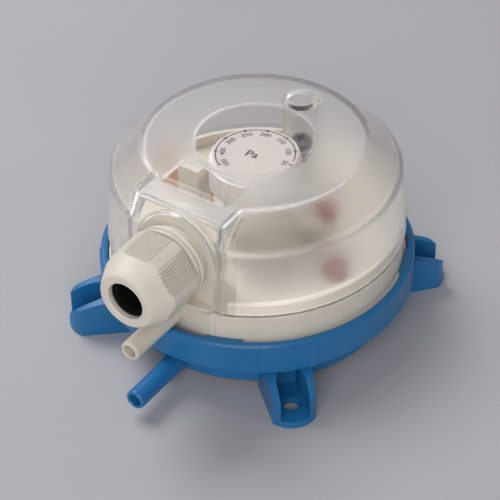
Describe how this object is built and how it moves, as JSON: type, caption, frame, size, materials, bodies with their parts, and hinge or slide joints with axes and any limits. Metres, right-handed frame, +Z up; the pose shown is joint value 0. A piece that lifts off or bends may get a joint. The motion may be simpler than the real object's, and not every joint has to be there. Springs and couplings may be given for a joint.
{
  "type": "differential pressure switch",
  "caption": "Round air differential pressure switch on feet, with hose tubes, a set-point dial under a clear cover and a cable gland.",
  "frame": {"origin": "on the floor, under the centre of the round housing, at the centre of the circle of the foot holes", "axes": "+Z up through the dial, -Y along the cable gland and the hose tubes, +X to the right seen from the gland"},
  "size_m": [0.093, 0.1096, 0.0601],
  "materials": {
    "blue_plastic": "satin moulded plastic",
    "ivory_plastic": "satin moulded plastic",
    "ivory_gland": "satin moulded polyamide",
    "white_plastic": "smooth moulded plastic",
    "clear_cover": "clear polycarbonate, frosted away from its windows",
    "black_rubber": "matt rubber",
    "silicone": "matt silicone",
    "dark_plastic": "matt moulded plastic",
    "red_plastic": "smooth moulded plastic",
    "card": "pressed phenolic card",
    "printed_label": "printed film",
    "brass": "turned",
    "spring_steel": "drawn",
    "dark_steel": "blackened zinc plate",
    "tinned_blade": "tinned"
  },
  "bodies": {
    "housing": {"lower_housing": "blue_plastic", "diaphragm": "silicone", "upper_housing": "ivory_plastic", "spring_tower": "white_plastic", "switch_case": "dark_plastic", "switch_screws": "dark_steel", "lever_pin": "spring_steel", "terminal_common": "tinned_blade", "terminal_normally_closed": "tinned_blade", "terminal_normally_open": "tinned_blade", "insulating_card": "card", "calibration_cap_upper": "red_plastic", "calibration_cap_lower": "red_plastic", "calibration_screws": "brass", "cover_seal": "silicone", "cover_screw_insert": "brass", "gland_gasket": "black_rubber", "gland_body": "ivory_gland", "gland_claw": "ivory_gland", "gland_seal": "black_rubber", "gland_lock_nut": "ivory_gland"},
    "cover": {"cover": "clear_cover"},
    "cover_screw": {"cover_screw": "dark_steel"},
    "dial": {"dial_knob": "white_plastic", "dial_label": "printed_label", "dial_spindle": "brass", "spindle_clip": "spring_steel"},
    "spring_nut": {"spring_nut": "brass"},
    "diaphragm_plate": {"diaphragm_plate": "ivory_plastic", "push_pin": "white_plastic", "range_spring": "spring_steel"},
    "switch_lever": {"switch_lever": "spring_steel"},
    "switch_plunger": {"switch_plunger": "red_plastic"},
    "gland_nut": {"gland_dome_nut": "ivory_gland"}
  },
  "joints": [
    {"name": "cover_lift", "type": "slide", "parent": "housing", "child": "cover", "axis": [0, 0, 1], "range_m": [0, 0.045]},
    {"name": "cover_screw_turn", "type": "hinge", "parent": "cover", "child": "cover_screw", "pos_m": [0, 0.0237, 0.0425], "axis": [0, 0, 1], "continuous": true},
    {"name": "dial_turn", "type": "hinge", "parent": "housing", "child": "dial", "pos_m": [0, 0, 0.047], "axis": [0, 0, 1], "range_deg": [-120, 120]},
    {"name": "spring_nut_travel", "type": "slide", "parent": "housing", "child": "spring_nut", "axis": [0, 0, 1], "range_m": [-0.00167, 0.00167], "deforming": ["range_spring"]},
    {"name": "diaphragm_travel", "type": "slide", "parent": "housing", "child": "diaphragm_plate", "axis": [0, 0, 1], "range_m": [0, 0.0008], "deforming": ["diaphragm"]},
    {"name": "switch_lever_tilt", "type": "hinge", "parent": "housing", "child": "switch_lever", "pos_m": [0.0189, -0.00963, 0.03298], "axis": [-0.6691, 0.7431, 0], "range_deg": [0, 3.65]},
    {"name": "switch_plunger_travel", "type": "slide", "parent": "housing", "child": "switch_plunger", "axis": [0, 0, 1], "range_m": [0, 0.000255]},
    {"name": "gland_nut_turn", "type": "hinge", "parent": "housing", "child": "gland_nut", "pos_m": [0, -0.0445, 0.0438], "axis": [0, -1, 0], "continuous": true}
  ],
  "couplings": [
    {"joint": "spring_nut_travel", "follows": "dial_turn", "m_per_rad": -0.00079577},
    {"joint": "switch_lever_tilt", "follows": "diaphragm_travel", "rad_per_m": 79.365},
    {"joint": "switch_plunger_travel", "follows": "diaphragm_travel", "ratio": 0.31746}
  ]
}
